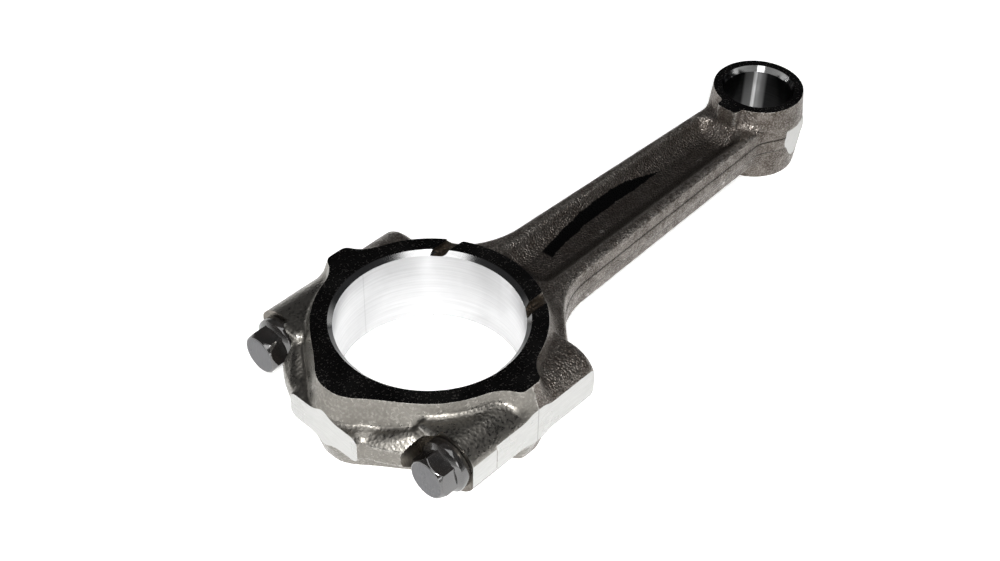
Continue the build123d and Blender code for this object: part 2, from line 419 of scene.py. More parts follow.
@dataclass
class RodBlank:
    """Rod forging before machining: ring, bosses, drafted I-section shank and eye."""

    ring: ThrustRing = field(default_factory=ThrustRing)
    boss: Boss = field(default_factory=Boss)
    boss_length: float = 21.8
    half_height: float = 6.3
    draft: float = 3.0
    flange_start: float = 48.0
    flange_half_width: float = 13.25
    flange_taper: float = 0.0316
    flare_radius: float = 25.0
    flare_end: float = 30.5
    neck_reach: float = 29.0
    edge_round: float = 1.4
    flash_half_height: float = 1.9
    flash_proud: float = 0.23
    flash_round: float = 0.15
    pocket_start: float = 35.2
    pocket_end: float = 127.2
    pocket_half_width_big: float = 9.0
    pocket_half_width_small: float = 8.0
    pocket_draft: float = 33.0
    pocket_corner: float = 4.0
    pocket_floor_round: float = 2.4
    web_half_height: float = 2.0
    eye_middle_radius: float = 15.2
    eye_face_radius: float = 13.85
    plan_fillet: float = 2.0
    eye_root: float = 9.0
    eye_fillet: float = 2.2
    strip_reach: float = 16.7
    strip_half_width: float = 3.6
    strip_round: float = 1.3
    slot_offset: float = 16.55
    slot_half_width: float = 1.75
    slot_depth: float = 1.4
    slot_start: float = 12.0
    slot_corner: float = 0.9
    boss_fillet: float = 1.3
    shank_fillet: float = 2.5
    strip_fillet: float = 1.0
    pocket_edge: float = 0.8
    slot_edge: float = 0.25
    span: tuple[float, float] = (-2.0, 160.5)

    def shank(self, x: Grid, y: Grid, z: Grid) -> Grid:
        """Field of the solid shank and its flare into the big end."""
        before = np.maximum(self.flange_start - x, 0)
        reach = min(self.flange_start - self.flare_end, self.flare_radius)
        bow = self.flare_radius - np.sqrt(self.flare_radius ** 2 - np.minimum(before, reach) ** 2)
        width = self.flange_half_width - self.flange_taper * (x - self.flange_start) + bow
        width = np.minimum(width + np.maximum(before - reach, 0), self.neck_reach)
        lean = np.where(before >= reach, 1.0, np.minimum(before, reach) / self.flare_radius)
        slope = tan(radians(self.draft))
        walls = (np.abs(y) - width + np.abs(z) * slope) / np.sqrt(1 + lean * lean)
        walls = np.maximum(walls, 2 * (x - SIZES.centre_distance + self.eye_root))
        eye = self.eye(x, y, z)
        plan = join(walls, eye, self.plan_fillet)
        body = trim(plan, np.abs(z) - self.half_height, self.edge_round)
        flash = trim(plan - self.flash_proud, np.abs(z) - self.flash_half_height, self.flash_round)
        upper = join(trim(walls, np.abs(z) - self.half_height, self.edge_round), eye, self.eye_fillet)
        return np.minimum(np.minimum(body, flash), upper)

    def eye(self, x: Grid, y: Grid, z: Grid) -> Grid:
        """Field of the round, drafted eye."""
        across = x - SIZES.centre_distance
        taper = (self.eye_middle_radius - self.eye_face_radius) / SIZES.half_thickness
        radius = np.sqrt(across * across + y * y)
        return (radius - self.eye_middle_radius + taper * np.abs(z)) / sqrt(1 + taper * taper)

    def strip(self, x: Grid, y: Grid) -> Grid:
        """Field of the raised strip where the web meets the eye."""
        across = x - SIZES.centre_distance
        block = trim(np.abs(y) - self.strip_half_width, -across - self.strip_reach, self.strip_round)
        return np.maximum(block, across)

    def pocket(self, x: Grid, y: Grid, z: Grid) -> Grid:
        """Field of the recesses that leave the web."""
        share = (x - self.pocket_start) / (self.pocket_end - self.pocket_start)
        width = self.pocket_half_width_big + share * (self.pocket_half_width_small - self.pocket_half_width_big)
        plan = trim(np.abs(y) - width, band(x, self.pocket_start, self.pocket_end), self.pocket_corner)
        slope = radians(self.pocket_draft)
        walls = (plan + np.maximum(self.half_height - np.abs(z), 0) * tan(slope)) * cos(slope)
        return trim(walls, self.web_half_height - np.abs(z), self.pocket_floor_round)

    def slots(self, x: Grid, y: Grid, z: Grid) -> Grid:
        """Field of the shallow slots across the thrust faces."""
        across = np.abs(np.abs(y) - self.slot_offset) - self.slot_half_width
        depth = SIZES.half_thickness - self.slot_depth - np.abs(z)
        return np.maximum(trim(across, depth, self.slot_corner), self.slot_start - x)

    def build(self) -> bpy.types.Object:
        """The blank as a mesh object."""
        lattice = Lattice((-3.0, -41.0, -14.0), (161.5, 41.0, 14.0))
        x, y, z = lattice.axes()
        boss = self.boss.field(x, y, z, x - self.boss_length)
        body = join(self.ring.field(x, y, z), boss, self.boss_fillet)
        body = join(body, self.shank(x, y, z), self.shank_fillet)
        body = join(body, self.strip(x, y), self.strip_fillet)
        body = trim(body, -self.pocket(x, y, z), self.pocket_edge)
        body = trim(body, -self.slots(x, y, z), self.slot_edge)
        body = np.maximum(body, band(x, *self.span))
        return lattice.mesh("rod_forging", np.maximum(body, np.abs(z) - SKIN_TOP))


@dataclass
class CapBlank:
    """Cap forging before machining: ring, bosses, rib and end pad."""

    ring: ThrustRing = field(default_factory=ThrustRing)
    boss: Boss = field(default_factory=Boss)
    rib_radius: float = 39.2
    rib_half_height: float = 4.4
    rib_edge_height: float = 2.5
    rib_flat_half_width: float = 13.5
    rib_round: float = 1.4
    rib_lead: float = 0.9
    rib_slope: float = 0.95
    pad_half_width: float = 12.4
    pad_half_height: float = 4.3
    pad_corner: float = 2.2
    pad_fillet: float = 1.5
    valley: float = 1.0
    boss_fillet: float = 1.3
    boss_length: float = 27.0
    raw_edge: float = 0.35
    raw_allowance: float = 0.1
    raw_lap: float = 0.4
    raw_depth: float = 5.0
    span: tuple[float, float] = (-41.0, 2.0)

    def rib(self, x: Grid, y: Grid, z: Grid) -> Grid:
        """Field of the rib that rises towards the bolt bosses."""
        share = (np.abs(y) - self.rib_flat_half_width) / (SIZES.bolt_offset - self.rib_flat_half_width)
        share = np.clip(share, 0, 1) ** self.rib_lead
        height = self.rib_half_height + (SIZES.boss_radius - self.rib_half_height) * share * share * (3 - 2 * share)
        top = (np.abs(z) - height) * self.rib_slope
        out = np.sqrt(x * x + y * y) - self.rib_radius
        side = np.maximum(out, (out + np.abs(z) - self.rib_edge_height) / sqrt(2))
        return trim(top, side, self.rib_round)

    def pad(self, x: Grid, y: Grid, z: Grid) -> Grid:
        """Field of the block whose end is machined as a balance pad."""
        block = trim(np.abs(y) - self.pad_half_width, np.abs(z) - self.pad_half_height, self.pad_corner)
        return np.maximum(block, x + SIZES.thrust_radius)

    def build(self) -> bpy.types.Object:
        """The blank as a mesh object."""
        lattice = Lattice((-42.0, -41.0, -14.0), (3.0, 41.0, 14.0))
        x, y, z = lattice.axes()
        rib = join(self.rib(x, y, z), self.pad(x, y, z), self.pad_fillet)
        body = join(self.ring.field(x, y, z), rib, self.valley)
        body = join(body, self.boss.field(x, y, z, -x - self.boss_length), self.boss_fillet)
        beside = x > -SIZES.raw_side_start + self.raw_lap
        side = np.abs(y) - SIZES.raw_side + self.raw_allowance - self.raw_depth * beside
        body = trim(body, np.maximum(side, -self.raw_depth), self.raw_edge)
        body = np.maximum(body, band(x, *self.span))
        return lattice.mesh("cap_forging", np.maximum(body, np.abs(z) - SKIN_TOP))


# ---- node trees ------------------------------------------------------------------------------------
Value = object
Socket = bpy.types.NodeSocket
Colour = tuple[float, float, float, float]
VECTOR, FLOAT, GEOMETRY = "NodeSocketVector", "NodeSocketFloat", "NodeSocketGeometry"


class Nodes:
    """Short hand for building node trees."""

    def __init__(self, tree: bpy.types.NodeTree) -> None:
        """Keeps the tree."""
        self.tree = tree

    def feed(self, node: bpy.types.Node, inputs: dict[Value, Value]) -> bpy.types.Node:
        """Links or sets a node's inputs.

        Args:
            node: The node.
            inputs: Input name or index to a number, a colour or a socket.

        Returns:
            The same node.
        """
        for name, value in inputs.items():
            if isinstance(value, Socket):
                self.tree.links.new(value, node.inputs[name])
            else:
                node.inputs[name].default_value = value
        return node

    def add(self, kind: str, inputs: Optional[dict[Value, Value]] = None, **settings: Value) -> bpy.types.Node:
        """Adds a node.

        Args:
            kind: Node type name.
            inputs: Input name or index to a number, a colour or a socket.
            settings: Properties of the node.

        Returns:
            The new node.
        """
        node = self.tree.nodes.new(kind)
        for name, value in settings.items():
            setattr(node, name, value)
        return self.feed(node, inputs or {})

    def grouped(self, group: bpy.types.NodeTree, **inputs: Value) -> bpy.types.Node:
        """Places a shader node group."""
        return self.add("ShaderNodeGroup", inputs, node_tree=group)

    def maths(self, kind: str, a: Value, b: Value = 0.0) -> Socket:
        """A Math node's result."""
        return self.add("ShaderNodeMath", {0: a, 1: b}, operation=kind).outputs[0]

    def product(self, *values: Value) -> Socket:
        """Product of two or more values."""
        return reduce(lambda a, b: self.maths("MULTIPLY", a, b), values)

    def weighed(self, a: Value, share_a: float, b: Value, share_b: float) -> Socket:
        """Weighted sum of two values."""
        return self.maths("ADD", self.product(a, share_a), self.product(b, share_b))

    def size(self, value: Value) -> Socket:
        """Value without its sign."""
        return self.maths("ABSOLUTE", value)

    def away(self, value: Value, middle: Value) -> Socket:
        """Distance of a value from a middle."""
        return self.size(self.maths("SUBTRACT", value, middle))

    def axes(self, vector: Value) -> tuple[Socket, ...]:
        """The three parts of a vector."""
        return tuple(self.add("ShaderNodeSeparateXYZ", {0: vector}).outputs)

    def normal(self) -> tuple[Socket, ...]:
        """The three parts of the surface normal."""
        return self.axes(self.add("ShaderNodeNewGeometry").outputs["Normal"])

    def step(self, value: Value, low: float, high: float, smooth: bool = True) -> Socket:
        """Rises from 0 to 1 as the value goes from low to high."""
        return self.add("ShaderNodeMapRange", {"Value": value, "From Min": low, "From Max": high},
                        interpolation_type="SMOOTHSTEP" if smooth else "LINEAR").outputs["Result"]

    def blend(self, share: Value, first: Value, second: Value) -> Socket:
        """Mix of two colours."""
        return self.add("ShaderNodeMix", {0: share, 6: first, 7: second}, data_type="RGBA").outputs[2]

    def tint(self, colour: Value, mask: Value, amount: float, target: Value) -> Socket:
        """Draws a colour towards a target by an amount, where a mask is set."""
        return self.blend(self.product(mask, amount), colour, target)

    def noise(self, place: Value, scale: Value, detail: float = 2.0, roughness: float = 0.5) -> Socket:
        """Noise value at a place."""
        return self.add("ShaderNodeTexNoise", {"Vector": place, "Scale": scale, "Detail": detail,
                                               "Roughness": roughness}).outputs[0]

    def bump(self, height: Value, strength: float, distance: float) -> Socket:
        """Normal bent by a height."""
        return self.add("ShaderNodeBump", {"Strength": strength, "Distance": distance,
                                           "Height": height}).outputs[0]


def rgb(red: float, green: float, blue: float) -> Colour:
    """An opaque colour."""
    return red, green, blue, 1.0


def node_group(name: str, kind: str, inputs: dict[str, tuple[str, Value]], outputs: dict[str, str],
               fill: Callable[[Nodes, bpy.types.Node, bpy.types.Node], None]) -> bpy.types.NodeTree:
    """Makes a node group once.

    Args:
        name: Group name.
        kind: Type of tree.
        inputs: Socket name to (socket type, default value).
        outputs: Socket name to socket type.
        fill: Builds the inside from the tree, its input node and its output node.

    Returns:
        The group.
    """
    if name in bpy.data.node_groups:
        return bpy.data.node_groups[name]
    tree = bpy.data.node_groups.new(name, kind)
    for label, (socket_type, value) in inputs.items():
        socket = tree.interface.new_socket(label, in_out="INPUT", socket_type=socket_type)
        if value is not None:
            socket.default_value = value
    for label, socket_type in outputs.items():
        tree.interface.new_socket(label, in_out="OUTPUT", socket_type=socket_type)
    t = Nodes(tree)
    fill(t, t.add("NodeGroupInput"), t.add("NodeGroupOutput"))
    return tree


def fill_thread(t: Nodes, given: bpy.types.Node, result: bpy.types.Node) -> None:
    """A sheet rolled round X, with the thread's crests raised out of it and fading at both ends."""
    sheet = t.add("GeometryNodeMeshGrid", {"Size X": 1.0, "Size Y": 1.0, "Vertices X": 157, "Vertices Y": 49})
    place = t.axes(t.add("GeometryNodeInputPosition").outputs[0])
    along = t.maths("ADD", place[0], 0.5)
    turn = t.product(t.maths("ADD", place[1], 0.5), 2 * pi)
    x = t.maths("ADD", given.outputs["Start"], t.product(along, given.outputs["Length"]))
    phase = t.maths("SUBTRACT", t.maths("DIVIDE", x, given.outputs["Pitch"]), t.maths("DIVIDE", turn, 2 * pi))
    crest = t.maths("MINIMUM", t.product(t.away(t.maths("FRACT", phase), 0.5), 2.3), 1.0)
    ends = t.maths("MINIMUM", t.product(along, 9.0), t.product(t.maths("SUBTRACT", 1.0, along), 9.0))
    rise = t.product(crest, t.maths("MINIMUM", ends, 1.0), given.outputs["Depth"])
    radius = t.maths("ADD", given.outputs["Root"], t.maths("SUBTRACT", rise, 0.00002))
    point = t.add("ShaderNodeCombineXYZ", {"X": x, "Y": t.product(radius, t.maths("COSINE", turn)),
                                           "Z": t.product(radius, t.maths("SINE", turn))})
    move = t.add("GeometryNodeSetPosition", {"Geometry": sheet.outputs["Mesh"], "Position": point.outputs[0]})
    weld = t.add("GeometryNodeMergeByDistance", {"Geometry": move.outputs[0], "Distance": WELD})
    real = t.add("GeometryNodeRealizeInstances", {0: weld.outputs[0]})
    paint = t.add("GeometryNodeSetMaterial", {"Geometry": real.outputs[0]})
    t.feed(result, {0: paint.outputs[0]})


def thread_tree() -> bpy.types.NodeTree:
    """Geometry Nodes tree that winds a thread of a given pitch along X, with its sizes in metres."""
    sizes = {label: (FLOAT, 0.0) for label in ("Start", "Length", "Root", "Depth", "Pitch")}
    return node_group("helical_thread", "GeometryNodeTree", {"Geometry": (GEOMETRY, None), **sizes},
                      {"Geometry": GEOMETRY}, fill_thread)


def fill_blasted_grain(t: Nodes, given: bpy.types.Node, result: bpy.types.Node) -> None:
    """Shot-blasted grain: broad mottle, fine speckle and a pitted height."""
    place = given.outputs["Place"]
    scale = t.maths("DIVIDE", 1.0, given.outputs["Grain"])
    broad = t.noise(place, t.product(scale, 0.13), 3.0)
    fine = t.noise(place, scale, 2.0, 0.6)
    pits = t.add("ShaderNodeTexVoronoi", {"Vector": place, "Scale": t.product(scale, 0.8)})
    pit = t.step(pits.outputs["Distance"], 0.15, 0.75)
    t.feed(result, {"Mottle": t.step(broad, 0.35, 0.65), "Speckle": t.step(fine, 0.42, 0.68),
                    "Height": t.weighed(pit, 0.6, fine, 0.5)})


def fill_tool_lines(t: Nodes, given: bpy.types.Node, result: bpy.types.Node) -> None:
    """Fine lines left by a grinding wheel or a cutter, drawn out along one direction."""
    place = given.outputs["Place"]
    drawn = t.add("ShaderNodeVectorMath", {0: place, 1: given.outputs["Scale"]}, operation="MULTIPLY").outputs[0]
    t.feed(result, {"Lines": t.step(t.noise(drawn, 1.0, 3.0, 0.6), 0.3, 0.7),
                    "Cloud": t.step(t.noise(place, 70.0, 3.0, 0.6), 0.35, 0.7)})


def fill_edge_wear_and_hollow_shade(t: Nodes, given: bpy.types.Node, result: bpy.types.Node) -> None:
    """Worn edges, broken up by noise, and painted shade in the hollows."""
    bend = t.add("ShaderNodeNewGeometry").outputs["Pointiness"]
    broken = t.step(t.noise(given.outputs["Place"], 900.0, 3.0), 0.35, 0.6)
    # the second output picks the concave places that get painted shade
    t.feed(result, {"Edge": t.product(t.step(bend, 0.505, 0.54), broken), "Hollow": t.step(bend, 0.495, 0.47)})


def blasted_grain() -> bpy.types.NodeTree:
    """The shot-blasted grain group."""
    return node_group("blasted_grain", "ShaderNodeTree", {"Place": (VECTOR, None), "Grain": (FLOAT, 0.0006)},
                      {"Mottle": FLOAT, "Speckle": FLOAT, "Height": FLOAT}, fill_blasted_grain)


def tool_lines() -> bpy.types.NodeTree:
    """The tool line group."""
    return node_group("tool_lines", "ShaderNodeTree", {"Place": (VECTOR, None), "Scale": (VECTOR, (100.0,) * 3)},
                      {"Lines": FLOAT, "Cloud": FLOAT}, fill_tool_lines)


def edge_wear_and_hollow_shade() -> bpy.types.NodeTree:
    """The group of worn edges and painted shade in the hollows."""
    return node_group("edge_wear_and_hollow_shade", "ShaderNodeTree", {"Place": (VECTOR, None)}, {"Edge": FLOAT, "Hollow": FLOAT},
                      fill_edge_wear_and_hollow_shade)


def blank_material(name: str) -> tuple[bpy.types.Material, Nodes, bpy.types.Node, Socket]:
    """A new material with an empty Principled shader.

    Args:
        name: Material name.

    Returns:
        The material, its node builder, its shader and its Object coordinates.
    """
    material = bpy.data.materials.new(name)
    material.use_nodes = True
    t = Nodes(material.node_tree)
    shader = next(node for node in t.tree.nodes if node.type == "BSDF_PRINCIPLED")
    return material, t, shader, t.add("ShaderNodeTexCoord").outputs["Object"]


# ---- machined pieces -------------------------------------------------------------------------------
FAR = 300.0  # past everything
CLEAR = 80.0  # past the big end on every side


@dataclass(frozen=True)
class EyeGrind:
    """Small ground flat on the side of the eye."""

    distance: float = 13.9
    angle: float = -80.0
    low: float = -20.0
    high: float = 3.0
    lean: float = 3.8
    half_width: float = 9.0
    depth: float = 5.0

    def tool(self, cutters: Cutters) -> None:
        """Adds the block that grinds the flat."""
        turn = Matrix.Translation((SIZES.centre_distance, 0, 0)) @ Matrix.Rotation(radians(self.angle), 4, "Z")
        turn = turn @ Matrix.Rotation(radians(-self.lean), 4, "Y")
        cutters.block((self.distance, -self.half_width, self.low),
                      (self.distance + self.depth, self.half_width, self.high), turn)


EYE_GRIND = EyeGrind()


def outwards(side: int, start: float) -> tuple[float, float]:
    """Range of Y from a distance outwards on one side, lower end first."""
    low, high = sorted((side * start, side * CLEAR))
    return low, high


def cut_faces_and_bores(cutters: Cutters) -> None:
    """Adds the tools for the thrust faces and both bores."""
    half, wide = SIZES.half_thickness, SIZES.big_bore + SIZES.big_chamfer
    cutters.block((-FAR, -FAR, half), (FAR, FAR, half + 20))
    cutters.block((-FAR, -FAR, -half - 20), (FAR, FAR, -half))
    c = SIZES.big_chamfer
    cutters.turned([(-half - 2, wide + 2), (-half + c, wide - c), (half - c, wide - c), (half + 2, wide + 2)],
                   (0, 0, 0), "Z", 288)
    deep = SIZES.eye_chamfer_deep
    mouth = SIZES.eye_bore + 2 * SIZES.eye_chamfer_wide
    cutters.turned([(-half - deep, mouth), (-half + deep, SIZES.eye_bore), (half - deep, SIZES.eye_bore),
                    (half + deep, mouth)], (SIZES.centre_distance, 0, 0), "Z", 192)


class MachinedFaces:
    """Sorts a machined forging's faces by the tool that left them."""

    near = 0.03
    square_on = 0.99
    chamfer_reach = 1.4
    chamfer_depth = 2.0

    def __init__(self, obj: bpy.types.Object) -> None:
        """Reads every face's centre in millimetres and its normal."""
        self.mesh = obj.data
        count = len(self.mesh.polygons)
        centre, normal = np.empty(3 * count), np.empty(3 * count)
        self.mesh.polygons.foreach_get("center", centre)
        self.mesh.polygons.foreach_get("normal", normal)
        self.centre, self.normal = centre.reshape(-1, 3) / MM, normal.reshape(-1, 3)
        self.slot = np.full(count, Surface.FORGED.value, dtype=np.int32)

    def mark(self, surface: Surface, rule: Grid) -> None:
        """Gives the faces that meet a rule their slot."""
        self.slot[rule] = surface.value

    def mark_bores(self) -> None:
        """Marks the thrust faces and both bores with their chamfers."""
        (x, y, z), n = self.centre.T, self.normal
        upright = np.abs(n[:, 2])
        self.mark(Surface.THRUST, (np.abs(z) > SIZES.half_thickness - self.near) & (upright > self.square_on))
        for middle, bore, wall in ((0.0, SIZES.big_bore, Surface.BORE),
                                   (SIZES.centre_distance, SIZES.eye_bore, Surface.EYE_BORE)):
            radius = np.hypot(x - middle, y)
            inward = (n[:, 0] * (x - middle) + n[:, 1] * y) < 0
            self.mark(wall, (radius < bore + self.near) & (upright < 0.1))
            self.mark(Surface.CHAMFER, (radius < bore + self.chamfer_reach) & inward & (upright > 0.2)
                      & (upright < 0.9) & (np.abs(z) > SIZES.half_thickness - self.chamfer_depth))

    def mark_flats(self) -> None:
        """Marks the side flats, the raw sides, the joint, the pad and the eye's ground flat."""
        (x, y, z), n = self.centre.T, self.normal
        milled, sideways = Surface.MILLED, np.abs(n[:, 1])
        self.mark(milled, (np.abs(np.abs(y) - SIZES.side_flat) < self.near) & (sideways > self.square_on))
        self.mark(milled, (np.abs(y) > SIZES.raw_side - 0.15) & (sideways > 0.97))
        self.mark(milled, (np.abs(x) < self.near) & (np.abs(n[:, 0]) > self.square_on))
        self.mark(milled, (np.abs(x + SIZES.pad_distance) < self.near) & (n[:, 0] < -self.square_on))
        angle, lean = radians(EYE_GRIND.angle), radians(EYE_GRIND.lean)
        along = Vector((cos(angle), sin(angle), 0))
        flat = ((x - SIZES.centre_distance) * along.x + y * along.y) * cos(lean) + z * sin(lean)
        self.mark(milled, (np.abs(flat - EYE_GRIND.distance) < self.near) & (n @ np.array(along) > self.square_on))

    def mark_holes(self) -> None:
        """Marks the bolt seats and the drilled holes."""
        (x, y, z), n = self.centre.T, self.normal
        axis = np.hypot(np.abs(y) - SIZES.bolt_offset, z)
        self.mark(Surface.SEAT, (x < -SIZES.seat_distance + self.near) & (axis < SIZES.seat_radius + self.near)
                  & ((n[:, 0] < -self.square_on) | (axis > SIZES.seat_radius - 0.1)))
        self.mark(Surface.DRILLED, (axis < SIZES.dowel_radius + 0.04) & (np.abs(n[:, 0]) < 0.9))

    def sort(self) -> None:
        """Writes every face's material slot and keeps the edges between unlike surfaces crisp."""
        self.mark_bores()
        self.mark_flats()
        self.mark_holes()
        self.mesh.polygons.foreach_set("material_index", self.slot)
        self.mesh.update()
        work = opened(self.mesh)
        for edge in work.edges:
            if len({face.material_index for face in edge.link_faces}) > 1:
                edge.smooth = False
        stored(work, self.mesh)


def machined(cutters: Cutters, forging: bpy.types.Object) -> bpy.types.Object:
    """Machines a forging, sorts its faces and returns it."""
    piece = cutters.cut(forging)
    sharpen(piece)
    MachinedFaces(piece).sort()
    return piece


@dataclass
class Rod:
    """The machined rod forging."""

    blank: RodBlank = field(default_factory=RodBlank)
    hole_end: float = 6.0
    body: str = "rod"
    node: str = "connecting_rod"

    def build(self) -> bpy.types.Object:
        """Forges, machines and sorts the rod."""
        forging = self.blank.build()
        cutters = Cutters()
        cut_faces_and_bores(cutters)
        cutters.block((-FAR, -FAR, -FAR), (0, FAR, FAR))
        EYE_GRIND.tool(cutters)
        hole = [(-2, SIZES.dowel_radius), (SIZES.dowel_depth, SIZES.dowel_radius),
                (SIZES.dowel_depth, SIZES.rod_hole), (self.blank.boss_length + self.hole_end, SIZES.rod_hole)]
        for side in (-1, 1):
            low, high = outwards(side, SIZES.side_flat)
            cutters.block((-CLEAR, low, -CLEAR), (CLEAR, high, CLEAR))
            cutters.turned(hole, (0, side * SIZES.bolt_offset, 0), "X", 64)
        return machined(cutters, forging)


@dataclass
class Cap:
    """The machined bearing cap."""

    blank: CapBlank = field(default_factory=CapBlank)
    tool_end: float = -60.0
    body: str = "cap"
    node: str = "bearing_cap"

    def build(self) -> bpy.types.Object:
        """Forges, machines and sorts the cap."""
        forging = self.blank.build()
        cutters = Cutters()
        cut_faces_and_bores(cutters)
        cutters.block((0, -FAR, -FAR), (FAR, FAR, FAR))
        cutters.block((-CLEAR, -CLEAR, -CLEAR), (-SIZES.pad_distance, CLEAR, CLEAR))
        dowel = SIZES.dowel_radius + SIZES.dowel_clearance
        depth = -SIZES.dowel_depth - SIZES.dowel_gap
        for side in (-1, 1):
            axis = (0, side * SIZES.bolt_offset, 0)
            low, high = outwards(side, SIZES.side_flat)
            cutters.block((-SIZES.raw_side_start, low, -CLEAR), (CLEAR, high, CLEAR))
            low, high = outwards(side, SIZES.bolt_offset)
            cutters.block((-CLEAR, low, -CLEAR), (-SIZES.seat_distance, high, CLEAR))
            cutters.turned([(self.tool_end, SIZES.seat_radius), (-SIZES.seat_distance, SIZES.seat_radius)],
                           axis, "X", 128)
            cutters.turned([(self.tool_end, SIZES.cap_hole), (depth, SIZES.cap_hole), (depth, dowel), (2, dowel)],
                           axis, "X", 64)
        return machined(cutters, forging)


class BoltSide(Enum):
    """The two cap bolts: side of the middle plane and turn of the hexagon in degrees."""

    LEFT = (1, 34.0)
    RIGHT = (-1, -10.0)


class BoltSurface(Enum):
    """Material slots of a cap bolt."""

    BLACKED = 0
    GROUND_END = 1
    THREAD = 2


@dataclass
class CapBolt:
    """Hexagon collar bolt with a waist and a helical thread."""

    side: BoltSide
    radius: float = 4.0
    waist_radius: float = 3.55
    fitted_length: float = 8.0
    reach: float = 19.0
    thread_length: float = 13.0
    pitch: float = 1.0
    thread_depth: float = 0.6
    across_flats: float = 11.0
    hex_height: float = 5.0
    chamfer_radius: float = 5.25
    chamfer_height: float = 1.5
    collar_height: float = 3.5
    collar_side: float = 2.7
    collar_radius: float = 7.3
    collar_top_radius: float = 5.9
    edge_round: float = 0.28
    lip_scale: float = 0.965
    lip_height: float = 0.12
    chamfer_steps: int = 10
    facets: int = 96

    @property
    def node(self) -> str:
        """CAD node that this bolt stands for."""
        return "cap_bolt_" + self.side.name.lower()

    @property
    def body(self) -> str:
        """CAD body that this bolt rides on."""
        return "bolt_" + self.side.name.lower()

    def profile(self) -> list[tuple[float, float]]:
        """(x, radius) of the shank and collar from the tip to the collar's top."""
        seat = -SIZES.seat_distance
        thread_start = self.reach - self.thread_length
        r, w, e = self.radius, self.waist_radius, self.edge_round
        root = r - self.thread_depth
        return [(self.reach, root - 0.9), (self.reach - 0.25, root - 0.1), (self.reach - 0.5, root),
                (thread_start + 0.6, root), (thread_start, w), (thread_start - 0.4, w),
                (seat + self.fitted_length + 0.5, w), (seat + self.fitted_length + 0.1, r - 0.08),
                (seat + self.fitted_length - 0.3, r), (seat, r), (seat, self.collar_radius - e),
                (seat - 0.3 * e, self.collar_radius - 0.3 * e), (seat - e, self.collar_radius),
                (seat - self.collar_side + 1.6 * e, self.collar_radius),
                (seat - self.collar_side + 0.5 * e, self.collar_radius - 0.35 * e),
                (seat - self.collar_side - 0.3 * e, self.collar_radius - 1.1 * e),
                (seat - self.collar_height, self.collar_top_radius)]

    def shank(self) -> bpy.types.Object:
        """Turned shank and collar, closed at both ends."""
        turner = Cutters()
        turner.turned(self.profile(), (0, 0, 0), "X", self.facets)
        return turner.tools[0]

    def head_radius(self, angle: float, depth: float) -> float:
        """Distance from the axis to the head's side.

        Args:
            angle: Angle around the axis from a flat's middle, in radians.
            depth: Distance below the head's end face.

        Returns:
            The smaller of the hexagon's and the chamfer cone's radius, blended a little at the corner.
        """
        turn = (angle + pi / 6) % (pi / 3) - pi / 6
        half = self.across_flats / 2
        corner = half / cos(pi / 6)
        flat = half / cos(turn)
        soft = self.edge_round * 0.35 * (flat - half) / (corner - half)
        cone = self.chamfer_radius + depth * (corner - self.chamfer_radius) / self.chamfer_height
        return min(flat - soft, cone)

    def head(self) -> bpy.types.Object:
        """Hexagon with its turned chamfer, closed at both ends."""
        end = -SIZES.seat_distance - self.collar_height - self.hex_height
        count = self.facets * 2
        steps = self.chamfer_steps
        depths = [0.0] + [self.chamfer_height * (index + 1) / steps for index in range(steps)]
        depths += [self.hex_height * 0.6, self.hex_height + 0.35]
        work = bmesh.new()
        rings = []
        for depth in depths:
            ring = []
            for index in range(count):
                angle = 2 * pi * index / count
                r = self.head_radius(angle, depth)
                ring.append(work.verts.new((end + depth, r * cos(angle), r * sin(angle))))
            rings.append(ring)
        lip = [work.verts.new((end, v.co.y * self.lip_scale, v.co.z * self.lip_scale)) for v in rings[0]]
        for vert in rings[0]:
            vert.co.x += self.lip_height
        rings.insert(0, lip)
        skin_rings(work, rings)
        bmesh.ops.rotate(work, matrix=Matrix.Rotation(radians(self.side.value[1]), 3, "X"), verts=work.verts)
        return Cutters().keep(work, "hexagon")

    def thread(self) -> bpy.types.Object:
        """Helical thread made by a Geometry Nodes rule, as a plain mesh."""
        start = self.reach - self.thread_length
        tree = thread_tree()
        host = link(bpy.data.objects.new("thread", bpy.data.meshes.new("thread")))
        step = host.modifiers.new("thread", "NODES")
        step.node_group = tree
        sizes = {"Start": start * MM, "Length": (self.thread_length - 0.5) * MM,
                 "Root": (self.radius - self.thread_depth) * MM, "Depth": self.thread_depth * MM,
                 "Pitch": self.pitch * MM}
        for item in tree.interface.items_tree:
            if item.in_out == "INPUT" and item.name in sizes:
                step[item.identifier] = sizes[item.name]
        mesh = evaluated_mesh(host)
        bpy.data.objects.remove(host, do_unlink=True)
        work = opened(mesh)
        bmesh.ops.holes_fill(work, edges=[edge for edge in work.edges if edge.is_boundary], sides=0)
        obj = link(bpy.data.objects.new("thread", stored(work, mesh)))
        face_outwards(obj)
        return obj

    def build(self) -> bpy.types.Object:
        """The whole bolt at its place."""
        shank, head = self.shank(), self.head()
        work = bmesh.new()
        for part in (shank, head, self.thread()):
            work.from_mesh(part.data)
            bpy.data.objects.remove(part, do_unlink=True)
        offset = Vector((0, self.side.value[0] * SIZES.bolt_offset * MM, 0))
        bmesh.ops.translate(work, vec=offset, verts=work.verts)
        bolt = link(bpy.data.objects.new(self.body, stored(work, bpy.data.meshes.new(self.node))))
        sharpen(bolt, 24.0)
        end = (-SIZES.seat_distance - self.collar_height - self.hex_height) * MM
        for face in bolt.data.polygons:
            if face.normal.x < -0.99 and face.center.x < end + 0.05 * MM:
                face.material_index = BoltSurface.GROUND_END.value
            elif face.center.x > (self.reach - self.thread_length - 0.5) * MM:
                face.material_index = BoltSurface.THREAD.value
        return bolt


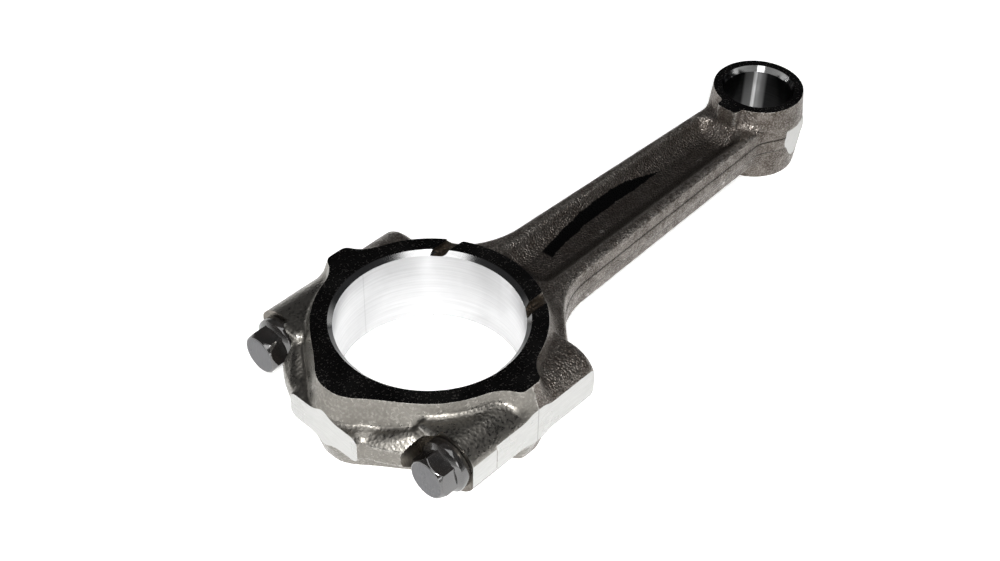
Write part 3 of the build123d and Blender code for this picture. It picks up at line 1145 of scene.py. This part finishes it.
@dataclass
class Dowel:
    """Hollow dowel with small chamfers."""

    side: BoltSide
    inner: float = 4.2
    chamfer: float = 0.35
    body: str = "rod"

    @property
    def node(self) -> str:
        """CAD node that this dowel stands for."""
        return "cap_dowel_" + self.side.name.lower()

    def build(self) -> bpy.types.Object:
        """The tube at its place."""
        outer, c, half = SIZES.dowel_radius, self.chamfer, SIZES.dowel_depth
        turner = Cutters()
        axis = (0, self.side.value[0] * SIZES.bolt_offset, 0)
        turner.turned([(-half, outer - c), (-half + c, outer), (half - c, outer), (half, outer - c)], axis, "X", 96)
        shell = turner.tools.pop()
        turner.turned([(-half - 1, self.inner + c + 1), (-half + c, self.inner), (half - c, self.inner),
                       (half + 1, self.inner + c + 1)], axis, "X", 96)
        shell.name = "dowel_" + self.side.name.lower()
        shell.hide_render = False
        dowel = turner.cut(shell)
        sharpen(dowel, 25.0)
        return dowel


# ---- finishes --------------------------------------------------------------------------------------
PAINTED_HIGHLIGHT_SIDE = (0.777, 0.629, 0.0)  # from the eye's axis to the painted highlight band on its wall, the part that faces the camera


@dataclass(frozen=True)
class PaintMark:
    """Plain curved stroke of paint on the upper web, in metres."""

    bow_middle: float = 0.077
    bow_top: float = 0.0049
    bow_rate: float = 3.7
    wobble: float = 0.0012
    middle: float = 0.0742
    half_length: float = 0.0260
    faded_length: float = 0.0252
    half_width: float = 0.0018
    taper_start: float = 0.088
    taper_end: float = 0.1005

    def mask(self, t: Nodes, place: Socket) -> Socket:
        """Where the paint lies."""
        x, y, z = t.axes(place)
        wobble = t.product(t.maths("SUBTRACT", t.noise(place, 320.0), 0.5), self.wobble)
        bow = t.maths("POWER", t.away(x, self.bow_middle), 2.0)
        middle = t.maths("SUBTRACT", self.bow_top, t.product(bow, self.bow_rate))
        across = t.away(t.maths("SUBTRACT", y, middle), wobble)
        width = t.product(t.step(x, self.taper_end, self.taper_start, smooth=False), self.half_width)
        return t.product(t.step(t.maths("SUBTRACT", across, width), 0.00015, -0.0001),
                         t.step(t.away(x, self.middle), self.half_length, self.faded_length),
                         t.step(z, 0.001, 0.0015))


def painted_recess_shade_mask(t: Nodes, place: Socket) -> Socket:
    """Mask of the web's floor in the recess, where painted shade darkens the scale."""
    x, y, z = t.axes(place)
    return t.product(t.step(t.size(z), 0.0042, 0.0024), t.step(t.size(y), 0.0095, 0.0085),
                     t.step(x, 0.033, 0.037), t.step(x, 0.129, 0.127))


def slot_mask(t: Nodes, place: Socket) -> Socket:
    """Mask of the raw floors of the slots across the thrust faces."""
    _, y, z = t.axes(place)
    across = t.away(t.size(y), RodBlank.slot_offset * MM)
    return t.product(t.step(across, 0.0020, 0.0018), t.step(t.size(z), 0.0108, 0.0109))


def flash_mask(t: Nodes, place: Socket) -> Socket:
    """Mask of the two dark lines where the flash was sheared off."""
    x, _, z = t.axes(place)
    line = t.step(t.away(t.size(z), 0.0020), 0.00035, 0.00012)
    return t.product(line, t.step(t.size(t.normal()[2]), 0.45, 0.25), t.step(x, 0.020, 0.026))


@dataclass(frozen=True)
class ForgedSkin:
    """Shot-blasted forging scale: brown-grey, speckled, worn bright on its edges, with painted shade in its
    hollows.

    Args:
        name: Material name.
        dark: Colour between the speckles.
        light: Colour of the speckles.
        bright: Colour of the worn edges.
        grain: Size of the grain in metres.
        roughness: Middle roughness.
        bump: Strength of the pits.
        hollow: How much painted shade darkens the hollows.
        of_rod: Whether the painted shade on the web's floor, the slots' floors, the flash lines and the paint mark
            are shown.
    """

    name: str
    dark: Colour = rgb(0.078, 0.064, 0.054)
    light: Colour = rgb(0.27, 0.248, 0.225)
    bright: Colour = rgb(0.72, 0.70, 0.66)
    grain: float = 0.0005
    roughness: float = 0.36
    bump: float = 0.85
    hollow: float = 0.35
    of_rod: bool = False

    def build(self) -> bpy.types.Material:
        """The finished material."""
        material, t, shader, place = blank_material(self.name)
        grain = t.grouped(blasted_grain(), Place=place, Grain=self.grain)
        wear_and_shade = t.grouped(edge_wear_and_hollow_shade(), Place=place)
        share = t.weighed(grain.outputs["Speckle"], 0.65, grain.outputs["Mottle"], 0.35)
        colour = t.blend(share, self.dark, self.light)
        colour = t.tint(colour, wear_and_shade.outputs["Edge"], 0.5, self.bright)
        # painted shade: the hollows are darkened towards a near-black brown
        colour = t.tint(colour, wear_and_shade.outputs["Hollow"], self.hollow, rgb(0.03, 0.022, 0.017))
        rough = t.maths("ADD", self.roughness, t.product(t.maths("SUBTRACT", 0.5, share), 0.25))
        if self.of_rod:
            # painted shade: the web's floor in the recess is darkened
            colour = t.tint(colour, painted_recess_shade_mask(t, place), 0.45, rgb(0.045, 0.037, 0.032))
            colour = t.tint(colour, slot_mask(t, place), 0.75, rgb(0.05, 0.036, 0.022))
            colour = t.tint(colour, flash_mask(t, place), 0.85, rgb(0.01, 0.009, 0.008))
            mark = PaintMark().mask(t, place)
            colour = t.blend(mark, colour, rgb(0.004, 0.004, 0.004))
            rough = t.maths("MAXIMUM", rough, t.product(mark, 0.75))
        t.feed(shader, {"Base Color": colour, "Roughness": rough, "Metallic": 1.0,
                        "Normal": t.bump(grain.outputs["Height"], self.bump, 0.00026)})
        return material


@dataclass(frozen=True)
class MachinedSteel:
    """Cut or ground steel with tool lines and a little unevenness.

    Args:
        name: Material name.
        colour: Main colour.
        shade: Colour in the lines and clouds.
        roughness: Middle roughness.
        lines: Frequency of the tool lines along X, Y and Z, per metre.
        depth: Strength of the lines' relief.
        spread: Change of roughness over the clouds.
        stretch: How far highlights are drawn out along Z.
        dust: Amount of pale specks.
        joint_line: Darkness of the line where rod and cap meet.
        painted_highlight: Brightness of the painted highlight bands along the wall of the eye, or 0 for none.
    """

    name: str
    colour: Colour
    shade: Colour
    roughness: float
    lines: tuple[float, float, float]
    depth: float = 0.1
    spread: float = 0.12
    stretch: float = 0.0
    dust: float = 0.0
    joint_line: float = 0.0
    painted_highlight: float = 0.0

    def painted_highlight_mask(self, t: Nodes, place: Socket) -> Socket:
        """Mask of the painted highlight band on the eye's wall where it faces the camera, brightest along its
        middle.
        """
        arm = t.add("ShaderNodeVectorMath", {0: place, 1: (SIZES.centre_distance * MM, 0.0, 0.0)},
                    operation="SUBTRACT").outputs[0]
        side = t.add("ShaderNodeVectorMath", {0: arm, 1: PAINTED_HIGHLIGHT_SIDE}, operation="DOT_PRODUCT")
        share = t.maths("DIVIDE", side.outputs["Value"], SIZES.eye_bore * MM)
        return t.weighed(t.step(share, 0.93, 0.965), 0.22, t.step(share, 0.9972, 0.9993), 0.78)

    def joint_mask(self, t: Nodes, place: Socket) -> Socket:
        """Mask of the thin dark line where rod and cap meet."""
        side_on = t.step(t.size(t.normal()[0]), 0.97, 0.9)
        return t.product(t.step(t.size(t.axes(place)[0]), 0.00022, 0.00008), side_on)

    def build(self) -> bpy.types.Material:
        """The finished material."""
        material, t, shader, place = blank_material(self.name)
        lay = t.grouped(tool_lines(), Place=place, Scale=self.lines)
        lines, cloud = lay.outputs["Lines"], lay.outputs["Cloud"]
        colour = t.blend(t.weighed(lines, 0.55, cloud, 0.45), self.shade, self.colour)
        rough = t.maths("ADD", self.roughness, t.product(t.maths("SUBTRACT", cloud, 0.5), self.spread))
        if self.dust:
            grain = t.grouped(blasted_grain(), Place=place, Grain=0.0007)
            specks = t.product(t.step(grain.outputs["Speckle"], 0.72, 1.0), self.dust)
            colour = t.blend(specks, colour, rgb(0.34, 0.32, 0.29))
            rough = t.maths("ADD", rough, t.product(specks, 0.5))
        # painted highlight: a bright streak painted into the colour of the eye's wall
        if self.painted_highlight:
            colour = t.blend(self.painted_highlight_mask(t, place), colour, rgb(self.painted_highlight, self.painted_highlight, self.painted_highlight))
        if self.joint_line:
            colour = t.tint(colour, self.joint_mask(t, place), self.joint_line, rgb(0.02, 0.018, 0.015))
        t.feed(shader, {"Base Color": colour, "Roughness": rough, "Metallic": 1.0,
                        "Normal": t.bump(lines, self.depth, 0.00002)})
        if self.stretch:
            upright = t.add("ShaderNodeCombineXYZ", {2: 1.0}).outputs[0]
            t.feed(shader, {"Tangent": upright, "Anisotropic": self.stretch})
        return material


@dataclass(frozen=True)
class BlackedSteel:
    """Oiled black oxide on a bolt, worn a little at its edges."""

    name: str = "blacked_bolt"
    roughness: float = 0.09

    def build(self) -> bpy.types.Material:
        """The finished material."""
        material, t, shader, place = blank_material(self.name)
        grain = t.grouped(blasted_grain(), Place=place, Grain=0.0007)
        wear_and_shade = t.grouped(edge_wear_and_hollow_shade(), Place=place)
        colour = t.blend(grain.outputs["Mottle"], rgb(0.010, 0.0095, 0.009), rgb(0.014, 0.012, 0.011))
        colour = t.tint(colour, wear_and_shade.outputs["Edge"], 0.05, rgb(0.20, 0.195, 0.19))
        rough = t.maths("ADD", self.roughness, t.product(grain.outputs["Speckle"], 0.05))
        t.feed(shader, {"Base Color": colour, "Roughness": rough, "IOR": 2.1,
                        "Normal": t.bump(grain.outputs["Height"], 0.04, 0.00003)})
        return material


class Finishes:
    """All materials of the object, by the surface that wears them."""

    def __init__(self) -> None:
        """Builds every finish once."""
        black = MachinedSteel("ground_thrust_face", rgb(0.085, 0.083, 0.080), rgb(0.030, 0.029, 0.028), 0.2,
                              (900.0, 2500.0, 900.0), 0.15, dust=0.3)
        bore = MachinedSteel("honed_bore", rgb(0.70, 0.70, 0.705), rgb(0.56, 0.56, 0.565), 0.34,
                             (40.0, 40.0, 1500.0), 0.05, stretch=0.9, joint_line=0.15)
        chamfer = MachinedSteel("turned_chamfer", rgb(0.42, 0.42, 0.42), rgb(0.32, 0.32, 0.32), 0.12,
                                (300.0, 300.0, 900.0), 0.01, spread=0.02)
        milled = MachinedSteel("milled_flat", rgb(0.53, 0.53, 0.52), rgb(0.42, 0.42, 0.41), 0.32,
                               (300.0, 300.0, 3600.0), 0.12, joint_line=0.4)
        # painted shade and highlight: the pin bore's near-black colour stands in for the shade inside the eye, and
        # a bright streak is painted down the wall that faces the camera
        eye = MachinedSteel("pin_bore_with_painted_light", rgb(0.040, 0.040, 0.042), rgb(0.022, 0.022, 0.022), 0.34,
                            (60.0, 60.0, 3000.0), 0.05, stretch=0.97, painted_highlight=0.9)
        seat = MachinedSteel("turned_seat", rgb(0.20, 0.18, 0.155), rgb(0.09, 0.08, 0.065), 0.3,
                             (4200.0, 600.0, 600.0), 0.15)
        drilled = MachinedSteel("drilled_hole", rgb(0.30, 0.29, 0.28), rgb(0.14, 0.13, 0.12), 0.35,
                                (4200.0, 600.0, 600.0), 0.2)
        shared = [finish.build() for finish in (black, bore, chamfer, milled, eye, seat, drilled)]
        self.rod = [ForgedSkin("forged_rod", of_rod=True).build()] + shared
        cap = ForgedSkin("forged_cap", rgb(0.185, 0.175, 0.157), rgb(0.25, 0.238, 0.216), grain=0.0008,
                         roughness=0.33, bump=0.3, hollow=0.1)
        self.cap = [cap.build()] + shared
        thread = MachinedSteel("rolled_thread", rgb(0.06, 0.055, 0.052), rgb(0.02, 0.018, 0.017), 0.25,
                               (600.0, 600.0, 600.0), 0.05)
        end = MachinedSteel("ground_bolt_end", rgb(0.125, 0.125, 0.13), rgb(0.09, 0.09, 0.094), 0.3,
                            (300.0, 2600.0, 500.0), 0.1)
        self.bolt = [BlackedSteel().build(), end.build(), thread.build()]
        dowel = MachinedSteel("ground_dowel", rgb(0.74, 0.74, 0.735), rgb(0.58, 0.58, 0.575), 0.2,
                              (200.0, 2000.0, 2000.0), 0.05)
        self.dowel = [dowel.build()]


def dress(obj: bpy.types.Object, materials: list[bpy.types.Material]) -> None:
    """Fills an object's material slots without changing which face uses which.

    Args:
        obj: Mesh object.
        materials: One material per slot.
    """
    kept = np.zeros(len(obj.data.polygons), dtype=np.int32)
    obj.data.polygons.foreach_get("material_index", kept)
    obj.data.materials.clear()
    for material in materials:
        obj.data.materials.append(material)
    obj.data.polygons.foreach_set("material_index", kept)


# ---- studio ----------------------------------------------------------------------------------------
@dataclass(frozen=True)
class Softbox:
    """Rectangular area light, with its place and size in metres and its power in watts."""

    name: str
    place: tuple[float, float, float]
    size: tuple[float, float]
    power: float
    aim: tuple[float, float, float] = (0.03, 0.0, 0.0)

    def build(self) -> None:
        """Hangs the light and turns it to its aim."""
        light = bpy.data.lights.new(self.name, "AREA")
        light.shape = "RECTANGLE"
        light.size, light.size_y = self.size
        light.energy = self.power
        obj = link(bpy.data.objects.new(self.name, light))
        obj.location = self.place
        obj.rotation_euler = (Vector(self.aim) - Vector(self.place)).to_track_quat("-Z", "Y").to_euler()


SOFTBOXES = (Softbox("overhead_softbox", (-0.1, -0.15, 1.6), (1.2, 1.2), 8.0),
             Softbox("front_card", (-0.72, -0.66, 0.95), (2.0, 0.45), 8.0),
             Softbox("front_lamp", (-0.27, -0.27, 0.375), (0.07, 0.07), 2.0),
             Softbox("low_card", (-0.86, -0.62, 0.20), (0.45, 0.2), 1.1))


@dataclass
class Studio:
    """Plain pale floor, soft lights and the camera."""

    floor_height: float = -0.0124
    floor_size: float = 6.0
    camera_place: tuple[float, float, float] = (-0.21451, -0.22003, 0.30555)
    camera_aim: tuple[float, float, float] = (0.5461, 0.4976, -0.6739)
    camera_roll: float = 1.2
    lens: float = 58.42
    floor_glow: float = 0.5

    def floor(self) -> None:
        """Large pale floor with a glow of its own, which keeps its shadows faint."""
        work = bmesh.new()
        bmesh.ops.create_grid(work, x_segments=1, y_segments=1, size=self.floor_size / 2)
        bmesh.ops.translate(work, vec=(0, 0, self.floor_height), verts=work.verts)
        floor = link(bpy.data.objects.new("floor", stored(work, bpy.data.meshes.new("floor"))))
        material, t, shader, place = blank_material("pale_floor")
        tint = t.blend(t.noise(place, 3.0), rgb(0.93, 0.93, 0.92), rgb(0.96, 0.96, 0.96))
        t.feed(shader, {"Base Color": tint, "Roughness": 0.9, "Emission Color": rgb(1.0, 1.0, 0.99),
                        "Emission Strength": self.floor_glow})
        floor.data.materials.append(material)

    def world(self) -> None:
        """Surroundings: bright along the horizon and dark above."""
        world = bpy.data.worlds.new("surroundings")
        bpy.context.scene.world = world
        world.use_nodes = True
        t = Nodes(world.node_tree)
        backdrop = next(node for node in t.tree.nodes if node.type == "BACKGROUND")
        height = t.axes(t.add("ShaderNodeTexCoord").outputs["Generated"])[2]
        sky = t.blend(t.step(height, 0.02, 0.28), rgb(0.75, 0.75, 0.74), rgb(0.05, 0.05, 0.052))
        t.feed(backdrop, {"Color": sky, "Strength": 1.0})

    def camera(self) -> None:
        """Camera at the viewing angle of a close three-quarter look from above the cap."""
        lens = bpy.data.cameras.new("camera")
        lens.lens = self.lens
        lens.sensor_width = 36.0
        lens.clip_start = 0.01
        camera = link(bpy.data.objects.new("camera", lens))
        turn = Vector(self.camera_aim).to_track_quat("-Z", "Y").to_matrix().to_4x4()
        camera.matrix_world = (Matrix.Translation(self.camera_place) @ turn
                               @ Matrix.Rotation(radians(self.camera_roll), 4, "Z"))
        bpy.context.scene.camera = camera

    def build(self) -> None:
        """Sets up floor, lights, surroundings and camera."""
        self.floor()
        self.world()
        for light in SOFTBOXES:
            light.build()
        self.camera()
        bpy.context.scene.view_settings.view_transform = "Standard"
        bpy.context.scene.view_settings.look = "None"


def main() -> None:
    """Builds every piece, dresses it, and sets up the studio."""
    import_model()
    finishes = Finishes()
    pieces = [(Rod(), finishes.rod, "forged_steel"), (Cap(), finishes.cap, "forged_steel")]
    pieces += [(CapBolt(side), finishes.bolt, "bolt_steel") for side in BoltSide]
    pieces += [(Dowel(side), finishes.dowel, "dowel_steel") for side in BoltSide]
    for maker, materials, slot in pieces:
        obj = maker.build()
        dress(obj, materials)
        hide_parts(maker.node)
        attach(obj, maker.body)
        log.info("%s: %d faces for %s on body %s", obj.name, len(obj.data.polygons), maker.node, maker.body)
    Studio().build()


if __name__ == "__main__":
    main()
